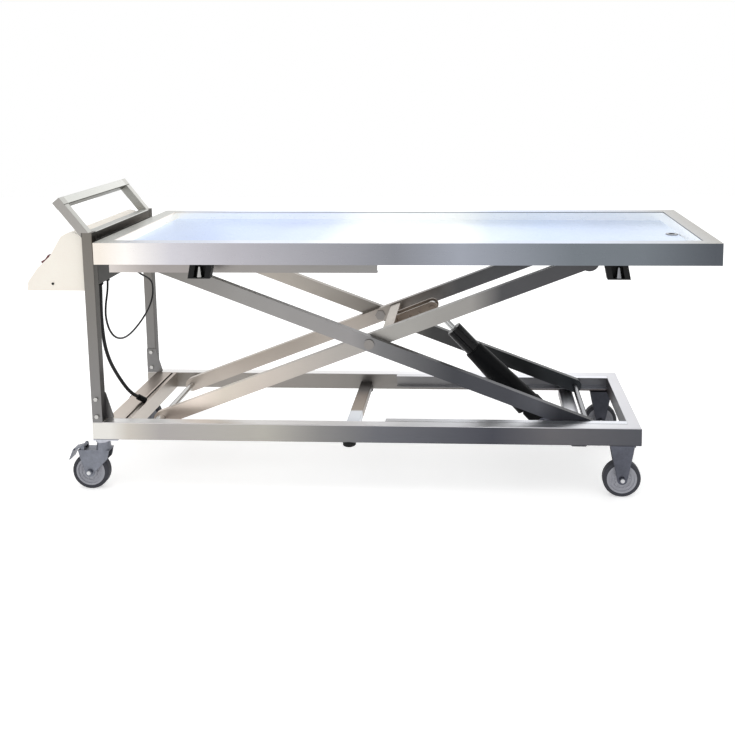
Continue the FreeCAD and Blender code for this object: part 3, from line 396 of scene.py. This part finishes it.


# Moulded, painted and plated skins: mottle is how far the colour strays, grain the scale of the fine noise,
# and far how bright the pieces on the far side are, a painted shade that darkens the far casters
plainSkin = {"metallic": 0.0, "mottle": 0.08, "grain": 220.0, "specular": 0.5, "coat": 0.0, "far": 1.0}
skinFacts = {
    "zincSteel": {"colour": (122, 125, 134), "roughness": 0.38, "metallic": 0.9, "mottle": 0.14,
                  "grain": 90.0},
    "zincDark": {"colour": (84, 86, 95), "roughness": 0.38, "metallic": 0.9, "mottle": 0.14, "grain": 90.0,
                 "far": 0.5},
    "zincBright": {"colour": (176, 178, 186), "roughness": 0.34, "metallic": 0.9, "mottle": 0.12,
                   "grain": 90.0},
    # Post crossbar: its dark tone is painted shade, for the shadow it stands in under the table's head end
    "darkSheet": {"colour": (52, 50, 46), "roughness": 0.5, "metallic": 0.4, "mottle": 0.15},
    "creamPlastic": {"colour": (253, 246, 235), "roughness": 0.42, "mottle": 0.02, "grain": 320.0},
    "redSwitch": {"colour": (96, 20, 30), "roughness": 0.25, "coat": 0.4},
    "blackPlastic": {"colour": (9, 10, 12), "roughness": 0.42, "mottle": 0.2, "specular": 0.08},
    "glossBlack": {"colour": (7, 8, 10), "roughness": 0.26, "mottle": 0.1, "specular": 0.08},
    "cableSkin": {"colour": (18, 18, 20), "roughness": 0.38, "mottle": 0.15, "grain": 500.0, "specular": 0.3},
    "wheelGrey": {"colour": (160, 161, 169), "roughness": 0.45, "mottle": 0.05, "far": 0.6},
    "tyreGrey": {"colour": (56, 57, 64), "roughness": 0.6, "mottle": 0.12, "specular": 0.3, "far": 0.6},
    "rubberBlack": {"colour": (18, 18, 19), "roughness": 0.55, "mottle": 0.15, "specular": 0.2},
}
# Detail and roughness of the fine noise, scale, detail and roughness of the soft one, and how they show
mouldFacts = {
    "fine": (3.0, 0.6), "soft": (9.0, 2.0, 0.5), "softShare": 0.6, "stops": (0.3, 0.5, 0.7),
    "rough": 0.15, "bump": 0.08, "depth": 0.0005,
    "farShadeBand": (0.10, 0.12),  # across the trolley, where the far side's shade begins and is full
}


def mouldedSkin(name, facts):
    # Faint mottling over a fine grain, both from noise, with the grain in the bump as well
    facts = {**plainSkin, **facts}
    book = Book(name)
    here = book.place()
    fine = book.noise(here, facts["grain"], *mouldFacts["fine"])
    soft = book.noise(here, *mouldFacts["soft"])
    deep = tuple(v * (1 - facts["mottle"]) for v in facts["colour"])
    pale = tuple(min(255, v * (1 + facts["mottle"])) for v in facts["colour"])
    mask = soft * mouldFacts["softShare"] + fine * (1 - mouldFacts["softShare"])
    toned = book.ramp(mask, list(zip(mouldFacts["stops"], (deep, facts["colour"], pale))))
    # Painted shade: pieces on the far side are darkened by the far factor
    if facts["far"] < 1:
        farShadeMask = book.parts(here)[1].between(*mouldFacts["farShadeBand"])
        toned = book.shaded(toned, 1 - farShadeMask * (1 - facts["far"]))
    book.feed("Base Color", toned)
    book.feed("Specular IOR Level", facts["specular"])
    book.feed("Roughness", (fine - 0.5) * mouldFacts["rough"] + facts["roughness"])
    book.feed("Metallic", facts["metallic"])
    book.feed("Coat Weight", facts["coat"])
    book.feed("Normal", book.bump(fine, mouldFacts["bump"], mouldFacts["depth"]))
    return book.material


materials = {name: brushedSteel(name, facts) for name, facts in steelFacts.items()}
materials.update({name: mouldedSkin(name, facts) for name, facts in skinFacts.items()})
print("finishes made:", len(materials))

# What each finish dresses: of the starts that fit a node's name, the longest counts
finishStarts = {
    "railSteel": ("base_rail", "actuator_cross"),
    "headRailSteel": ("base_rail_head",),
    "crossSteel": ("middle_cross",),
    "trackSteel": ("lower_tracks", "upper_tracks", "tray_bars"),
    "postSteel": ("post_near", "post_far", "post_gussets"),
    "handleSteel": ("handle",),
    "traySteel": ("tray",),
    "innerArmSteel": ("inner_arm", "table_lugs"),
    "outerArmSteel": ("outer_arm",),
    "bracketSteel": ("actuator_bracket",),
    "pistonSteel": ("actuator_rod",),
    "pinSteel": ("centre_pins",),
    "brightSteel": ("base_pivot", "frame_bolts", "roller_shafts", "clamp_buffers", "drain"),
    "zincSteel": ("swivel_fork", "brake_pedal"),
    "zincDark": ("fixed_caster", "actuator_clevis"),
    "zincBright": ("swivel",),
    "darkSheet": ("post_crossbar",),
    "creamPlastic": ("control_housing",),
    "redSwitch": ("rocker",),
    "blackPlastic": ("switch_bezel", "power_unit", "lower_rollers", "upper_rollers", "actuator_gearbox",
                     "actuator_motor", "cable_glands"),
    "glossBlack": ("actuator_tube",),
    "cableSkin": ("control_cable", "motor_cable"),
    "wheelGrey": ("wheel_core",),
    "tyreGrey": ("tyre",),
    "rubberBlack": ("rail_bumpers", "housing_screws", "tray_clamps"),
}


def dressNodes():
    finishOf = {start: finish for finish, starts in finishStarts.items() for start in starts}
    for name, node in nodes.items():
        longest = max((start for start in finishOf if name.startswith(start)), key=len)
        node.data.materials.clear()
        node.data.materials.append(materials[finishOf[longest]])
    for cable in cables:
        cable.data.materials.append(materials["cableSkin"])


dressNodes()
print("nodes dressed")


# Surfaces: grids of points worked out at once, joined into one mesh
meshFacts = {"merge": 1e-6, "sharp": 40}  # metres, and degrees between faces


def gridFaces(rows, columns, closed):
    # Quads between neighbouring rows and columns, with the last joined to the first where it closes
    index = np.arange(rows * columns).reshape(rows, columns)
    below = np.roll(index, -1, axis=0)
    quads = np.stack([index, np.roll(index, -1, axis=1), np.roll(below, -1, axis=1), below], axis=-1)
    quads = quads if closed[0] else quads[:-1]
    quads = quads if closed[1] else quads[:, :-1]
    return quads.reshape(-1, 4)


def surfacePiece(name, grids, closed, body, finish):
    # One mesh of all grids: rows that shrink to a point become one vertex, and faces turn outwards
    points, faces, start = [], [], 0
    for grid in grids:
        rows, columns = grid.shape[:2]
        points.append(grid.reshape(-1, 3))
        faces.append(gridFaces(rows, columns, closed) + start)
        start += rows * columns
    mesh = bpy.data.meshes.new(name)
    mesh.from_pydata(np.concatenate(points).tolist(), [], np.concatenate(faces).tolist())
    work = bmesh.new()
    work.from_mesh(mesh)
    bmesh.ops.remove_doubles(work, verts=work.verts, dist=meshFacts["merge"])
    bmesh.ops.dissolve_degenerate(work, edges=work.edges, dist=meshFacts["merge"])
    bmesh.ops.recalc_face_normals(work, faces=work.faces)
    work.to_mesh(mesh)
    work.free()
    mesh.polygons.foreach_set("use_smooth", np.ones(len(mesh.polygons), bool))
    mesh.set_sharp_from_angle(angle=math.radians(meshFacts["sharp"]))
    mesh.materials.append(materials[finish])
    piece = bpy.data.objects.new(name, mesh)
    scene.collection.objects.link(piece)
    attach(piece, body)
    return piece


def turnedAboutY(centre, side, radius, height, steps):
    # A profile turned round a line across the trolley: x and z are the radius times the cosine and the sine,
    # and y is the height, outwards on that side
    angle = np.arange(steps) * 2 * np.pi / steps
    x = centre[0] + np.outer(radius, np.cos(angle))
    z = centre[2] + np.outer(radius, np.sin(angle))
    y = centre[1] + side * np.repeat(height[:, None], steps, axis=1)
    return np.stack([x, y, z], axis=-1)


# Wheels: a moulded ring and short ribs stand in each recess of the core
wheelFacts = {
    "places": {"head_near": (-0.942, -0.25), "head_far": (-0.942, 0.25), "foot_near": (0.8435, -0.25),
               "foot_far": (0.8435, 0.25)},
    "axle": 0.0625, "floor": 0.0109, "sunk": 0.0003, "steps": 64,
    "ringRadius": (0.031, 0.0342), "ringRise": 0.0028, "ringRows": 9,
    "ribs": 10, "ribLength": (0.0214, 0.0324), "ribHeight": 0.0022, "ribWidth": 0.0016, "ribColumns": 7,
}


def wheelRing(centre, side, facts):
    # A half-round ring: its middle radius less half its width times the cosine of the angle over it, and its
    # rise times the sine above the recess's floor
    inner, outer = facts["ringRadius"]
    over = np.linspace(0, np.pi, facts["ringRows"])
    radius = (inner + outer) / 2 - (outer - inner) / 2 * np.cos(over)
    height = facts["floor"] - facts["sunk"] + facts["ringRise"] * np.sin(over)
    return turnedAboutY(centre, side, radius, height, facts["steps"])


def wheelRibs(centre, side, facts):
    # Each rib is a half-round ridge, width times the cosine and height times the sine of the angle over it,
    # and its first and last rows shrink to a point, so that it is closed
    turn = np.arange(facts["ribs"]) * 2 * np.pi / facts["ribs"]
    over = np.linspace(0, np.pi, facts["ribColumns"])
    inner, outer = facts["ribLength"]
    swell = np.array([0, 1, 1, 0])
    along = np.repeat([[inner], [inner], [outer], [outer]], len(over), axis=1)
    across = facts["ribWidth"] * np.outer(swell, np.cos(over))
    out = facts["floor"] - facts["sunk"] + facts["ribHeight"] * np.outer(swell, np.sin(over))
    grids = []
    for angle in turn:
        x = centre[0] + along * np.cos(angle) - across * np.sin(angle)
        z = centre[2] + along * np.sin(angle) + across * np.cos(angle)
        grids.append(np.stack([x, centre[1] + side * out, z], axis=-1))
    return grids


def makeWheelTrim(place, facts):
    x, y = facts["places"][place]
    centre = (x, y, facts["axle"])
    rings = [wheelRing(centre, side, facts) for side in (-1, 1)]
    surfacePiece("wheel_rings_" + place, rings, (True, True), "wheel_" + place, "wheelGrey")
    ribs = [grid for side in (-1, 1) for grid in wheelRibs(centre, side, facts)]
    surfacePiece("wheel_ribs_" + place, ribs, (False, True), "wheel_" + place, "wheelGrey")


# Axles: a bright domed cap closes the nut at each end
capFacts = {"radius": 0.0072, "rise": 0.0028, "rim": 0.0006, "sunk": 0.0004, "nutFace": 0.030,
            "rows": 8, "steps": 32}


def domedCap(centre, side, facts):
    # A flat back, a short rim and a low dome: radius times the cosine, rise times the sine of a quarter turn
    quarter = np.linspace(0, np.pi / 2, facts["rows"])
    radius = facts["radius"] * np.concatenate([[0, 1], np.cos(quarter)])
    height = np.concatenate([[-facts["sunk"]] * 2, facts["rim"] + facts["rise"] * np.sin(quarter)])
    return turnedAboutY(centre, side, radius, height, facts["steps"])


def makeAxleCaps(place, facts):
    # The head's axles turn with their swivels, and the foot's are fixed to the base
    x, y = wheelFacts["places"][place]
    caps = [domedCap((x, y + side * facts["nutFace"], wheelFacts["axle"]), side, facts) for side in (-1, 1)]
    end, flank = place.split("_")
    body = "base" if end == "foot" else "swivel_" + flank
    surfacePiece("axle_caps_" + place, caps, (False, True), body, "capSteel")


for wheelPlace in wheelFacts["places"]:
    makeWheelTrim(wheelPlace, wheelFacts)
    makeAxleCaps(wheelPlace, capFacts)
print("wheels trimmed")


# Weld beads: a half-sunk bead follows each joint, its radius rippling with the torch's steps
weldFacts = {"radius": 0.0021, "ripple": 0.14, "step": 0.0026, "spacing": 0.0008, "taper": 0.003,
             "fewest": 8, "sides": 10}
# The posts' feet: where each stands on the head rail, along x, across y and up
postFacts = {"start": -0.9195, "corner": -0.8865, "inner": 0.240, "outer": 0.273, "top": 0.240}
# The inner arm's lower pivot in x and z, its slope in degrees, and the bracket's tube along and across it
armFacts = {"pivot": (-0.720, 0.218), "slope": 20.9084, "inside": 0.157,
            "tubeStart": 0.8297, "tubeEnd": 0.8697, "half": 0.020}


def weldBead(corners, normal, facts):
    # Points spread evenly along a flat line, each with a ring of radius * (1 + ripple * wave) round its
    # heading, which tapers to a point at both ends
    corners = np.array(corners, float)
    runs = np.linalg.norm(np.diff(corners, axis=0), axis=1)
    reach = np.concatenate([[0], np.cumsum(runs)])
    travel = np.linspace(0, reach[-1], max(facts["fewest"], int(reach[-1] / facts["spacing"])))
    line = np.stack([np.interp(travel, reach, corners[:, i]) for i in range(3)], axis=-1)
    heading = np.gradient(line, axis=0)
    heading /= np.linalg.norm(heading, axis=1)[:, None]
    up = np.array(normal, float)
    right = np.cross(heading, up)
    taper = np.minimum(1, np.minimum(travel, travel[-1] - travel) / facts["taper"])
    radius = facts["radius"] * (1 + facts["ripple"] * np.sin(2 * np.pi * travel / facts["step"])) * taper
    angle = np.arange(facts["sides"]) * 2 * np.pi / facts["sides"]
    ring = right[:, None, :] * np.cos(angle)[None, :, None] + up * np.sin(angle)[None, :, None]
    return line[:, None, :] + radius[:, None, None] * ring


def postWelds(facts):
    # Along each post's inner face, then its foot-end face
    start, corner, inner, outer, top = (facts[k] for k in ("start", "corner", "inner", "outer", "top"))
    lines = [[(start, side * inner, top), (corner, side * inner, top), (corner, side * outer, top)]
             for side in (-1, 1)]
    return [weldBead(line, (0, 0, 1), weldFacts) for line in lines]


def onArm(along, across, y, facts):
    # A point given along and across the inner arm: the lower pivot, plus the first times the slope's cosine
    # and sine, plus the second times the same a quarter turn on
    angle = math.radians(facts["slope"])
    x = facts["pivot"][0] + along * math.cos(angle) - across * math.sin(angle)
    z = facts["pivot"][1] + along * math.sin(angle) + across * math.cos(angle)
    return x, y, z


def bracketWelds(facts):
    # Round each end of the bracket's tube, where it meets the arms
    low, high, half = facts["tubeStart"], facts["tubeEnd"], facts["half"]
    loop = [(low, -half), (high, -half), (high, half), (low, half), (low, -half)]
    lines = [[onArm(along, across, side * facts["inside"], facts) for along, across in loop]
             for side in (-1, 1)]
    return [weldBead(line, (0, 1, 0), weldFacts) for line in lines]


surfacePiece("post_welds", postWelds(postFacts), (False, True), "base", "weldSteel")
surfacePiece("bracket_welds", bracketWelds(armFacts), (False, True), "arm_b", "weldSteel")
print("welds laid")


# Stage: a pale floor that glows a little where it is seen, a white room and three soft lamps
stageFacts = {"half": 7.0, "paint": (0.86, 0.86, 0.86, 1), "roughness": 0.9, "glow": 0.45, "world": 0.93}
lampFacts = {
    "overhead": {"place": (0, -0.3, 3.6), "target": (0, 0, 0.5), "size": (4.0, 2.4), "power": 14.0},
    "front": {"place": (-1.5, -4.0, 2.6), "target": (0, 0, 0.6), "size": (2.5, 2.0), "power": 8.0},
    "back": {"place": (0.5, 4.5, 2.2), "target": (0, 0, 0.6), "size": (5.0, 2.6), "power": 14.0},
}


class RoomBook(Book):
    # The same book for the world's tree
    def __init__(self, world):
        world.use_nodes = True
        self.tree = world.node_tree
        self.shader = self.tree.nodes["Background"]


def pathSight(book):
    # 1 where the camera, a reflection or a view through glass looks, and 0 for the light on the object
    rays = book.node("ShaderNodeLightPath", {}, {}).socket.node.outputs
    sight, glossy, glass = (Sock(book, rays[kind]) for kind in
                            ("Is Camera Ray", "Is Glossy Ray", "Is Transmission Ray"))
    return (sight + glossy + glass).between(0.0, 1.0)


def makeStage(facts):
    half = facts["half"]
    corners = [(-half, -half, 0), (half, -half, 0), (half, half, 0), (-half, half, 0)]
    mesh = bpy.data.meshes.new("floor")
    mesh.from_pydata(corners, [], [(0, 1, 2, 3)])
    floor = bpy.data.objects.new("floor", mesh)
    scene.collection.objects.link(floor)
    book = Book("floorPaint")
    book.feed("Base Color", facts["paint"])
    book.feed("Roughness", facts["roughness"])
    book.feed("Emission Color", book.shaded((1, 1, 1), pathSight(book) * facts["glow"]))
    book.feed("Emission Strength", 1.0)
    mesh.materials.append(book.material)
    scene.world = bpy.data.worlds.new("room")
    room = RoomBook(scene.world)
    room.feed("Color", room.shaded((1, 1, 1), pathSight(room) * (1 - facts["world"]) + facts["world"]))
    room.feed("Strength", 1.0)


def addLamp(name, facts):
    data = bpy.data.lights.new(name, "AREA")
    data.shape = "RECTANGLE"
    data.size, data.size_y = facts["size"]
    data.energy = facts["power"]
    lamp = bpy.data.objects.new(name, data)
    lamp.location = facts["place"]
    sight = Vector(facts["target"]) - Vector(facts["place"])
    lamp.rotation_euler = sight.to_track_quat("-Z", "Y").to_euler()
    lamp.visible_camera = False
    scene.collection.objects.link(lamp)


makeStage(stageFacts)
for lampName, lamp in lampFacts.items():
    addLamp(lampName, lamp)
scene.view_settings.view_transform = "Standard"
print("stage lit")

bpy.context.view_layer.update()
